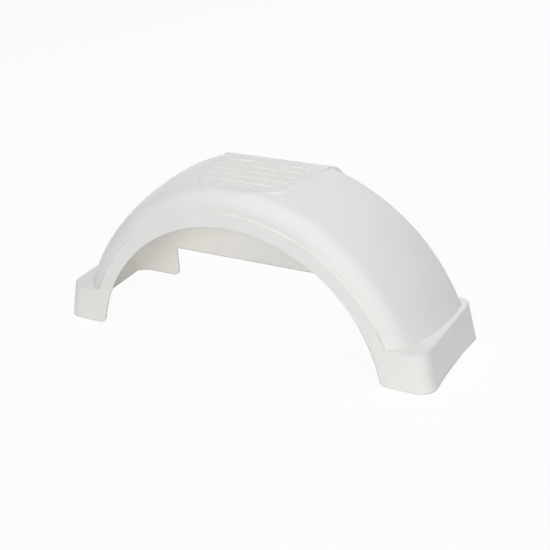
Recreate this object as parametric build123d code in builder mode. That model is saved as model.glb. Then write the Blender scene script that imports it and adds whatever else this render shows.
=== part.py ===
from build123d import *
from math import acos, cos, degrees, radians, sin, sqrt, tan
import os

# Trailer mudguard: one thin-walled plastic moulding, open below.
# Millimetres. +X runs along the mudguard, -Y is the outer side with the wheel
# opening, +Y is the wall against the trailer and +Z is up. The origin is on the
# ground plane of the feet, under the middle of the part.

# Overall sizes
length = 813.0
width = 248.0
step_height = 322.3
wall = 3.5

# Wheel opening and the raised rim round it
hub_drop = 58.0
opening_radius = 314.5
rim_width = 29.0
rim_proud = 2.4
rim_depth = 7.0
rim_edge_chamfer = 1.2
outer_lean = 2.3

# Crown, a zone of a ball centred a little lower than the wheel
crown_radius = 410.0
crown_drop = 74.5
crown_crest_place = 59.0
crown_inner_round = 44.0
crown_end_gap = 13.5
shoulder_round = 17.0

# Feet
foot_height = 73.4
end_draft = 12.0
foot_outer_corner = 31.5
foot_inner_corner = 22.5
foot_edge_chamfer = 1.5
foot_toe_round = 14.0
end_arch_height = 5.0
end_arch_half = 98.0

# Raised step on the crown
step_near_half = 87.0
step_near_place = 55.0
step_splay = 10.8
step_corner = 26.0
step_edge_round = 3.0
step_draft = 12.0
step_root = 60.0

# Grip ribs on the step
rib_count = 5
rib_near_place = 81.5
rib_far_place = 64.1
rib_width = 4.5
rib_height = 1.8
rib_edge_chamfer = 0.9
rib_field_half = 92.0
rib_field_corner = 80.0
rib_field_near = 62.0

# Wall against the trailer
notch_half = 286.5
notch_height = 68.0
notch_corner = 7.0
leg_corner = 15.0

# Worked out from the sizes above
outer_y = -width / 2
inner_y = width / 2
reach = 30.0
rim_radius = opening_radius + rim_width
crown_centre = Vector(0, inner_y - crown_crest_place, -crown_drop)
end_arch_radius = (end_arch_half**2 + end_arch_height**2) / (2 * end_arch_height)
rib_pitch = (width - rib_near_place - rib_far_place) / (rib_count - 1)


def side_plane(depth):
    """The outer side's leaning plane, moved into the part by depth."""
    outward = Vector(0, -cos(radians(outer_lean)), sin(radians(outer_lean)))
    return Plane(origin=Vector(0, outer_y, 0) - outward * depth, x_dir=(1, 0, 0), z_dir=outward)


def crown_height(x, y):
    """Height of the crown's outside over a point of the ground."""
    return sqrt(crown_radius**2 - x**2 - (y - crown_centre.Y) ** 2) - crown_drop


def half_ball(radius, flat, edge_round):
    """Half the crown's ball towards a flat side, the side's edge rounded, its seam below ground."""
    outward = flat.z_dir
    distance = (flat.origin - crown_centre).dot(outward)
    along = outward.cross(Vector(0, 0, -1))
    with BuildPart() as half:
        with BuildSketch(Plane(origin=crown_centre, x_dir=outward, z_dir=along)) as section:
            with BuildLine():
                start = degrees(acos(distance / radius))
                bow = CenterArc((0, 0), radius, start, 90 - start + degrees(reach / radius))
                Polyline(bow @ 1, ((bow @ 1).X, 0), (distance, 0), bow @ 0)
            make_face()
            corner = section.vertices().group_by(Axis.X)[-1].sort_by(Axis.Y)[-1]
            fillet(corner, edge_round)
        revolve(axis=Axis(crown_centre, outward))
        split(bisect_by=Plane(origin=crown_centre, z_dir=(0, outward.Y, 0)), keep=Keep.TOP)
    return half.part


def crown(inset):
    """The crown's ball between the leaning outer side and the upright trailer wall."""
    radius = crown_radius - inset
    trailer_side = Plane(origin=(0, inner_y - inset, 0), z_dir=(0, 1, 0))
    with BuildPart() as body:
        add(half_ball(radius, side_plane(rim_proud + inset), shoulder_round - inset))
        add(half_ball(radius, trailer_side, crown_inner_round - inset))
    return body.part


def step(inset):
    """Pad of the raised step, drafted on three sides, rooted in the crown, run out past the wall."""
    level = step_height - inset
    foot = crown_height(step_near_half, outer_y + step_near_place) - step_root
    far_y = inner_y + reach
    near_y = outer_y + step_near_place + inset
    near_half = step_near_half - inset
    far_half = near_half + (far_y - near_y) * tan(radians(step_splay))
    with BuildPart() as pad:
        with BuildSketch(Plane.XY.offset(level)) as outline:
            with BuildLine():
                Polyline((-near_half, near_y), (near_half, near_y), (far_half, far_y), (-far_half, far_y), close=True)
            make_face()
            fillet(outline.vertices().group_by(Axis.Y)[0], step_corner - inset)
        extrude(amount=foot - level, taper=-step_draft)
        if inset < step_edge_round:
            top = pad.faces().sort_by(Axis.Z)[-1]
            fillet(top.edges().sort_by(Axis.Y)[:-1], step_edge_round - inset)
    return pad.part


def ceiling(inset):
    """Everything under the step's level, rounded down to the trailer wall like the crown."""
    low = -crown_drop - crown_radius
    high = step_height - inset
    near = outer_y - reach
    far = inner_y - inset
    with BuildPart() as block:
        with BuildSketch(Plane.YZ) as section:
            with BuildLine():
                Polyline((near, low), (far, low), (far, high), (near, high), close=True)
            make_face()
            fillet(section.vertices().group_by(Axis.Y)[-1].sort_by(Axis.X)[-1], crown_inner_round - inset)
        extrude(amount=length, both=True)
    return block.part


def arch(inset):
    """Crown and step together, under the ceiling and between the feet's ends."""
    half = length / 2 - crown_end_gap - inset
    with BuildPart() as whole:
        add(crown(inset))
        add(step(inset))
        add(ceiling(inset), mode=Mode.INTERSECT)
        for end in (-1, 1):
            split(bisect_by=Plane(origin=(end * half, 0, 0), z_dir=(end, 0, 0)), keep=Keep.BOTTOM)
    return whole.part


def foot_block(inset):
    """One block under both feet: upright by the trailer, leaning outside, drafted at the ends."""
    bevel = max(0, foot_edge_chamfer - inset)
    top = foot_height - inset
    levels = [(-inset, inset), (top, inset + bevel)]
    if bevel > 0:
        levels.insert(1, (top - bevel, inset))
    with BuildPart() as block:
        for z, setback in levels:
            near = outer_y + z * tan(radians(outer_lean)) + setback
            far = inner_y - setback
            half = length / 2 - z * tan(radians(end_draft)) - setback
            with BuildSketch(Plane.XY.offset(z)) as plan:
                with BuildLine():
                    Polyline((-half, near), (half, near), (half, far), (-half, far), close=True)
                make_face()
                fillet(plan.vertices().group_by(Axis.Y)[0], foot_outer_corner - setback)
                fillet(plan.vertices().group_by(Axis.Y)[-1], foot_inner_corner - setback)
        loft(ruled=True)
    return block.part


def rim(inset):
    """Disc of the raised rim, square to the outer side's plane."""
    with BuildPart() as disc:
        with BuildSketch(side_plane(inset)):
            with Locations((0, -hub_drop / cos(radians(outer_lean)))):
                Circle(rim_radius - inset)
        extrude(amount=-rim_depth)
        if inset < rim_edge_chamfer:
            chamfer(disc.faces().sort_by(Axis.Y)[0].edges(), rim_edge_chamfer - inset)
    return disc.part


def rib_half(place):
    """Half a rib's length at this distance from the outer side, less in the rounded near corners."""
    short = max(0, rib_field_near + rib_field_corner - place)
    return rib_field_half - rib_field_corner + sqrt(rib_field_corner**2 - short**2)


def ribs():
    """Round-ended grip ribs along the step, shorter where its near corners round in."""
    with BuildPart() as bars:
        with BuildSketch(Plane.XY.offset(step_height - rib_height)):
            for row in range(rib_count):
                place = rib_near_place + row * rib_pitch
                with Locations((0, outer_y + place)):
                    SlotOverall(2 * rib_half(place), rib_width)
        extrude(amount=2 * rib_height)
        chamfer(bars.faces().group_by(Axis.Z)[-1].edges(), rib_edge_chamfer)
    return bars.part


def pockets():
    """Hollows inside the feet, outside the crown's own wall."""
    with BuildPart() as hollow:
        add(foot_block(wall))
        add(arch(0), mode=Mode.SUBTRACT)
    return hollow.part


arch_outside = arch(0)
arch_inside = arch(wall)
foot_pockets = pockets()

with BuildPart() as mudguard:
    add(arch_outside)
    add(foot_block(0))
    add(rim(0))
    add(ribs())
    split(bisect_by=Plane.XY, keep=Keep.TOP)
    add(arch_inside, mode=Mode.SUBTRACT)
    add(rim(wall), mode=Mode.SUBTRACT)
    add(foot_pockets, mode=Mode.SUBTRACT)
    with BuildSketch(Plane.XZ.offset(reach - outer_y)):
        with Locations((0, -hub_drop)):
            Circle(opening_radius)
    extrude(amount=-2 * reach, mode=Mode.SUBTRACT)
    with BuildSketch(Plane.XZ.offset(-reach - inner_y)) as notch:
        Rectangle(2 * notch_half, 2 * notch_height)
        fillet(notch.vertices().group_by(Axis.Y)[-1], notch_corner)
    extrude(amount=2 * reach, mode=Mode.SUBTRACT)
    for end in (-1, 1):
        with BuildSketch(Plane.YZ.offset(end * (length - crown_end_gap) / 2)):
            with Locations((0, end_arch_height - end_arch_radius)):
                Circle(end_arch_radius)
        extrude(amount=end * reach, mode=Mode.SUBTRACT)
    ground = mudguard.edges().filter_by(Axis.Y).filter_by_position(Axis.Z, -0.01, 0.01)
    legs = ground.filter_by_position(Axis.X, -notch_half - wall, notch_half + wall)
    fillet(legs.filter_by_position(Axis.Y, inner_y - 2 * wall, inner_y), leg_corner)
    ground = mudguard.edges().filter_by(Axis.Y).filter_by_position(Axis.Z, -0.01, 0.01)
    toes = ground.filter_by_position(Axis.X, -opening_radius, opening_radius)
    fillet(toes.filter_by_position(Axis.Y, outer_y, outer_y + 2 * rim_depth), foot_toe_round)
mudguard.part.label = "mudguard"

os.makedirs("parts", exist_ok=True)
export_step(mudguard.part, "parts/mudguard.step")
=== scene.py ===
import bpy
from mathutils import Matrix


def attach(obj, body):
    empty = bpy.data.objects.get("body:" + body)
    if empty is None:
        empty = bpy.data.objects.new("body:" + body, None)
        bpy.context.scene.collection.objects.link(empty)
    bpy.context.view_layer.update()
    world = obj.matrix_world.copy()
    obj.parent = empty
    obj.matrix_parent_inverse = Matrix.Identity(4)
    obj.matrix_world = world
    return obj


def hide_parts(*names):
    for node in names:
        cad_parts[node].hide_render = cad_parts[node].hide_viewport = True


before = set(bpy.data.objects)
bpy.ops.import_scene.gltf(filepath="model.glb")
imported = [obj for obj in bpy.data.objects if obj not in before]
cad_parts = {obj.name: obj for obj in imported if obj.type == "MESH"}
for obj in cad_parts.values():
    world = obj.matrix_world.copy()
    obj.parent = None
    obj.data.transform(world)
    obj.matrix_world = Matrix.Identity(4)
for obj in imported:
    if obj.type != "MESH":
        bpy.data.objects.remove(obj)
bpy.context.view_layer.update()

from math import cos, radians, sin, sqrt, tan

import bmesh
import bpy
import numpy as np
from mathutils import Matrix, Vector

scene = bpy.context.scene


# The moulding: the CAD solid's own surface, its crown drawn fuller towards the outer
# side as the photograph shows it, welded and shaded smooth. Sizes in millimetres.

# The solid: its wall, the wheel's axis, the crown's ball, the leaning outer side and
# the shoulder between them, and the step's level
wall = 3.5
hub_z = -58.0
crown_y, crown_z, crown_radius = 65.0, -74.5, 410.0
outer_y, rim_proud, side_lean = -124.0, 2.4, radians(2.3)
solid_corner = 17.0
step_z = 322.3

# The fuller crown: its outer edge's distance from the wheel's axis at the top and on
# the ground, its shoulder's radius and the crown's flat ends
edge_top, edge_half = 378.0, 359.5
full_corner = 28.0
end_x = 393.0

# Points are moved on lines to a pivot well inside the shoulder. They keep their height
# below keep_z, and follow those lines freely above free_z.
pivot_in, pivot_reach = 45.0, 300.0
keep_z, free_z = 120.0, 200.0

# Where the crown's surface is looked for, and where the step's sides stand on it
crown_reach, crown_tolerance, step_gap = 339.0, 0.7, 0.1
pad_near_y, pad_half, pad_low_z = -80.0, 130.0, 240.0

# Worked out from the sizes above
side_tan = tan(side_lean)
side_y = outer_y + rim_proud / cos(side_lean)


def ball(y, turn, radius):
    """Distance of the crown's ball from the wheel's axis at this y and turn about the axis."""
    low = (hub_z - crown_z) * np.cos(turn)
    return -low + np.sqrt(low**2 - (hub_z - crown_z) ** 2 - (y - crown_y) ** 2 + radius**2)


def full_crown(y, turn, inset):
    """The same for the fuller crown, an oval along the outer side, under the step's level."""
    edge = 1 / np.hypot(np.cos(turn) / edge_top, np.sin(turn) / edge_half)
    edge_y = side_y + (edge * np.cos(turn) + hub_z) * side_tan
    part = np.clip((crown_y - y) / (crown_y - edge_y), 0, 1.2)
    gain = edge - ball(edge_y, turn, crown_radius)
    level = (step_z - hub_z - inset) / np.maximum(np.cos(turn), 0.2)
    return np.minimum(ball(y, turn, crown_radius - inset) + gain * part**2, level)


def off_full(y, reach, turn, inset):
    """How far a point lies outside the fuller crown and its outer side, their corner rounded."""
    side = side_y + inset + (reach * np.cos(turn) + hub_z) * side_tan
    past_side = side - y + full_corner - inset
    past_top = reach - full_crown(y, turn, inset) + full_corner - inset
    rounded = np.hypot(np.maximum(past_side, 0), np.maximum(past_top, 0))
    return rounded + np.minimum(np.maximum(past_side, past_top), 0) - full_corner + inset


def off_solid(points, inset):
    """How far a point lies outside the solid's own crown: its ball, outer side and shoulder."""
    away = points - (0, crown_y, crown_z)
    out = np.array((0, -cos(side_lean), sin(side_lean)))
    side = (crown_y - outer_y) * cos(side_lean) - crown_z * sin(side_lean) - rim_proud
    along = away @ out
    across = np.sqrt(np.maximum((away**2).sum(1) - along**2, 0))
    centre = side - solid_corner
    ring = sqrt((crown_radius - solid_corner) ** 2 - centre**2)
    past, over = along - centre, across - ring
    shoulder = (past > 0) & (over > 0) & (over * centre < past * ring)
    plain = np.maximum(np.linalg.norm(away, axis=1) - crown_radius, along - side) + inset
    return np.where(shoulder, np.hypot(past, over) - solid_corner + inset, plain)


def on_crown(points):
    """Which points lie on the solid's outer and inner crown surface, towards the outer side."""
    x, y, z = points.T
    near = (y < crown_y) & (np.hypot(x, z - hub_z) > crown_reach)
    sheets = []
    for inset in (0, wall):
        below_step = z < step_z - inset - step_gap
        sheets.append(near & below_step & (np.abs(off_solid(points, inset)) < crown_tolerance))
    return sheets


def onto_full(points, reach, turn, inset):
    """Points of the crown's surface moved onto the fuller crown."""
    x, y, z = points.T
    pivot_y = np.maximum(side_y + z * side_tan + pivot_in, y)
    low, high = np.zeros(len(y)), np.full(len(y), 2.0)
    for _ in range(40):
        middle = (low + high) / 2
        new_y = pivot_y + (y - pivot_y) * middle
        new_reach = pivot_reach + (reach - pivot_reach) * middle
        out = off_full(new_y, new_reach, turn, inset) > 0
        high, low = np.where(out, middle, high), np.where(out, low, middle)
    held = np.clip((free_z - z) / (free_z - keep_z), 0, 1)
    flat = np.arccos(np.clip((z - hub_z) / new_reach, -1, 1)) * np.sign(x)
    angle = turn * (1 - held) + flat * held
    new_x = np.clip(new_reach * np.sin(angle), -end_x + inset, end_x - inset)
    new_z = np.where(held > 0.999, z, new_reach * np.cos(angle) + hub_z)
    return np.stack([new_x, new_y, np.minimum(new_z, step_z - inset)], 1)


def fuller(points, normals):
    """The points moved from the solid's crown to the fuller one, the step's sides with them."""
    x, y, z = points.T
    reach, turn = np.hypot(x, z - hub_z), np.arctan2(x, z - hub_z)
    moved = points.copy()
    outer, inner = on_crown(points)
    for chosen, inset in ((outer, 0.0), (inner, wall)):
        moved[chosen] = onto_full(points[chosen], reach[chosen], turn[chosen], inset)
    upward = (normals[:, 0] * np.sin(turn) + normals[:, 2] * np.cos(turn)) > 0
    pad = ~outer & ~inner & (y < crown_y) & (y > pad_near_y)
    pad &= (np.abs(x) < pad_half) & (z > pad_low_z)
    for chosen, inset in ((pad & upward, 0.0), (pad & ~upward, wall)):
        chosen &= off_solid(points, inset) > 0
        lifted = np.maximum(reach[chosen], full_crown(y[chosen], turn[chosen], inset))
        moved[chosen, 0] = lifted * np.sin(turn[chosen])
        moved[chosen, 2] = lifted * np.cos(turn[chosen]) + hub_z
    return moved


def in_millimetres(bm):
    """The mesh's points as an array, in millimetres."""
    return np.array([vert.co for vert in bm.verts]) * 1000


def smooth_copy(source, name, sharp_angle):
    """A welded copy of a CAD node with the fuller crown, smooth except across sharp edges."""
    mesh = bpy.data.meshes.new(name)
    bm = bmesh.new()
    bm.from_mesh(source.data)
    bmesh.ops.remove_doubles(bm, verts=bm.verts, dist=2e-6)
    bmesh.ops.dissolve_degenerate(bm, edges=bm.edges, dist=1e-7)
    for longest in (0.04, 0.02, 0.01, 0.006):
        outer, inner = on_crown(in_millimetres(bm))
        chosen = outer | inner
        bm.verts.index_update()
        cut = [edge for edge in bm.edges if edge.calc_length() > longest
               and all(chosen[vert.index] for vert in edge.verts)]
        bmesh.ops.subdivide_edges(bm, edges=cut, cuts=1)
        bmesh.ops.triangulate(bm, faces=bm.faces)
    bm.normal_update()
    normals = np.array([vert.normal for vert in bm.verts])
    for vert, place in zip(bm.verts, fuller(in_millimetres(bm), normals) / 1000):
        vert.co = place
    bmesh.ops.remove_doubles(bm, verts=bm.verts, dist=5e-5)
    bmesh.ops.dissolve_degenerate(bm, edges=bm.edges, dist=1e-6)
    bm.normal_update()
    for face in bm.faces:
        face.smooth = True
        face.material_index = 0
    for edge in bm.edges:
        if len(edge.link_faces) == 2 and edge.calc_face_angle(0) > radians(sharp_angle):
            edge.smooth = False
    bm.to_mesh(mesh)
    bm.free()
    piece = bpy.data.objects.new(name, mesh)
    scene.collection.objects.link(piece)
    weights = piece.modifiers.new("even normals", "WEIGHTED_NORMAL")
    weights.mode = "FACE_AREA_WITH_ANGLE"
    weights.keep_sharp = True
    return piece


moulding = smooth_copy(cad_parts["mudguard"], "moulding", 32)


# Glossy white plastic

def add_node(tree, kind, values=None, **properties):
    """A shader node of this kind, with its sockets' values and its own properties."""
    node = tree.nodes.new("ShaderNode" + kind)
    for socket, value in (values or {}).items():
        node.inputs[socket].default_value = value
    for name, value in properties.items():
        setattr(node, name, value)
    return node


def plastic():
    """White plastic, a little warm, with painted bounce light in its hollows and a fine moulded
    unevenness in gloss and surface.
    """
    material = bpy.data.materials.new("white_plastic")
    material.use_nodes = True
    tree = material.node_tree
    link = tree.links.new
    shader = tree.nodes["Principled BSDF"]
    shader.inputs["IOR"].default_value = 1.5
    place = add_node(tree, "TexCoord")

    def noise(scale, detail):
        texture = add_node(tree, "TexNoise", {"Scale": scale, "Detail": detail})
        link(place.outputs["Object"], texture.inputs["Vector"])
        return texture.outputs["Fac"]

    # Cloudy white, with painted bounce light: lighter and warmer deep in the hollows, by ambient
    # occlusion
    tint = add_node(tree, "ValToRGB")
    dark, pale = tint.color_ramp.elements
    dark.position, dark.color = 0.3, (0.905, 0.902, 0.884, 1)
    pale.position, pale.color = 0.7, (0.925, 0.923, 0.909, 1)
    link(noise(9.0, 4.0), tint.inputs["Fac"])
    painted_bounce_ao = add_node(tree, "AmbientOcclusion", {"Distance": 0.3}, samples=8)
    painted_bounce_share = add_node(tree, "MapRange", {"From Min": 0.7, "From Max": 0.4})
    link(painted_bounce_ao.outputs["AO"], painted_bounce_share.inputs["Value"])
    # Painted bounce light: a lighter, warmer colour mixed in where the ambient occlusion is deep
    painted_bounce_light = add_node(tree, "Mix", data_type="RGBA")
    painted_bounce_light.inputs["B"].default_value = (0.97, 0.95, 0.905, 1)
    link(painted_bounce_share.outputs["Result"], painted_bounce_light.inputs["Factor"])
    link(tint.outputs["Color"], painted_bounce_light.inputs["A"])
    link(painted_bounce_light.outputs["Result"], shader.inputs["Base Color"])

    # Uneven gloss
    gloss = add_node(tree, "MapRange", {"To Min": 0.2, "To Max": 0.28})
    link(noise(38.0, 3.0), gloss.inputs["Value"])
    link(gloss.outputs["Result"], shader.inputs["Roughness"])

    # Rounded creases near the ground, under a fine moulded grain
    height = add_node(tree, "SeparateXYZ")
    link(place.outputs["Object"], height.inputs["Vector"])
    low = add_node(tree, "MapRange", {"From Min": 0.1, "From Max": 0.13,
                                      "To Min": 0.006, "To Max": 0.0})
    link(height.outputs["Z"], low.inputs["Value"])
    soft = add_node(tree, "Bevel", samples=8)
    link(low.outputs["Result"], soft.inputs["Radius"])
    grain = add_node(tree, "Bump", {"Strength": 0.06, "Distance": 0.0004})
    link(noise(260.0, 2.0), grain.inputs["Height"])
    link(soft.outputs["Normal"], grain.inputs["Normal"])
    link(grain.outputs["Normal"], shader.inputs["Normal"])
    return material


moulding.data.materials.append(plastic())
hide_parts("mudguard")
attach(moulding, "root")


# Floor, world and lamps

white = (1, 1, 1, 1)


def seen(tree):
    """1 for rays that should meet the plain background: camera, glossy and transmission."""
    path = add_node(tree, "LightPath")
    value = path.outputs["Is Camera Ray"]
    for ray in ("Is Glossy Ray", "Is Transmission Ray"):
        either = add_node(tree, "Math", operation="MAXIMUM")
        tree.links.new(value, either.inputs[0])
        tree.links.new(path.outputs[ray], either.inputs[1])
        value = either.outputs["Value"]
    return value


def blend_shaders(tree, share, first, second, output):
    """The two nodes' shaders mixed by share into an output node of this kind."""
    mix = add_node(tree, "MixShader")
    tree.links.new(share, mix.inputs["Fac"])
    tree.links.new(first.outputs[0], mix.inputs[1])
    tree.links.new(second.outputs[0], mix.inputs[2])
    tree.links.new(mix.outputs["Shader"], add_node(tree, output).inputs["Surface"])


def floor_material():
    """Pale matt floor that shows as near white and keeps a soft shadow."""
    material = bpy.data.materials.new("pale_floor")
    material.use_nodes = True
    tree = material.node_tree
    tree.nodes.clear()
    matt = add_node(tree, "BsdfDiffuse", {"Color": (0.86, 0.86, 0.86, 1)})
    glow = add_node(tree, "Emission", {"Color": white})
    share = add_node(tree, "Math", {1: 0.94}, operation="MULTIPLY")
    tree.links.new(seen(tree), share.inputs[0])
    blend_shaders(tree, share.outputs["Value"], matt, glow, "OutputMaterial")
    return material


bm = bmesh.new()
bmesh.ops.create_circle(bm, cap_ends=True, segments=64, radius=14)
floor_mesh = bpy.data.meshes.new("floor")
bm.to_mesh(floor_mesh)
bm.free()
floor = bpy.data.objects.new("floor", floor_mesh)
floor.data.materials.append(floor_material())
scene.collection.objects.link(floor)

world = bpy.data.worlds.new("studio")
scene.world = world
world.use_nodes = True
tree = world.node_tree
tree.nodes.clear()
dim = add_node(tree, "Background", {"Color": white, "Strength": 0.02})
bright = add_node(tree, "Background", {"Color": white, "Strength": 1.0})
blend_shaders(tree, seen(tree), dim, bright, "OutputWorld")


def lamp(name, place, size, power, mirrored=False):
    """Soft square lamp at place, turned to the mudguard, and seen in its gloss if mirrored."""
    light = bpy.data.lights.new(name, "AREA")
    light.shape = "SQUARE"
    light.size = size
    light.energy = power
    thing = bpy.data.objects.new(name, light)
    thing.location = place
    ahead = Vector((0, 0, 0.15)) - Vector(place)
    thing.rotation_euler = ahead.to_track_quat("-Z", "Y").to_euler()
    thing.visible_glossy = mirrored
    scene.collection.objects.link(thing)


lamp("key", (2.3, -4.3, 1.6), 2.5, 104)
lamp("low front", (0.2, -3.8, 0.45), 1.4, 24)
lamp("top", (0, 0, 3.2), 2.0, 44)
lamp("high right", (2.1, 0.3, 2.5), 1.2, 8)
lamp("left", (-3.4, -0.6, 1.0), 1.4, 5)
lamp("back", (0, 3.2, 1.8), 1.4, 20)
lamp("spark", (1.9, -3.6, 2.4), 0.3, 1.2, True)


# Camera at the photograph's place
camera_data = bpy.data.cameras.new("camera")
camera_data.sensor_width = 36
camera_data.lens = 73.575
camera = bpy.data.objects.new("camera", camera_data)
right = Vector((0.872811, 0.484245, -0.06089))
down = Vector((0.166059, -0.411965, -0.895941))
ahead = Vector((-0.45894, 0.771875, -0.43998))
turn = Matrix((right, -down, -ahead)).transposed().to_4x4()
camera.matrix_world = Matrix.Translation((1.040376, -1.698805, 1.083893)) @ turn
scene.collection.objects.link(camera)
scene.camera = camera

scene.view_settings.view_transform = "Standard"
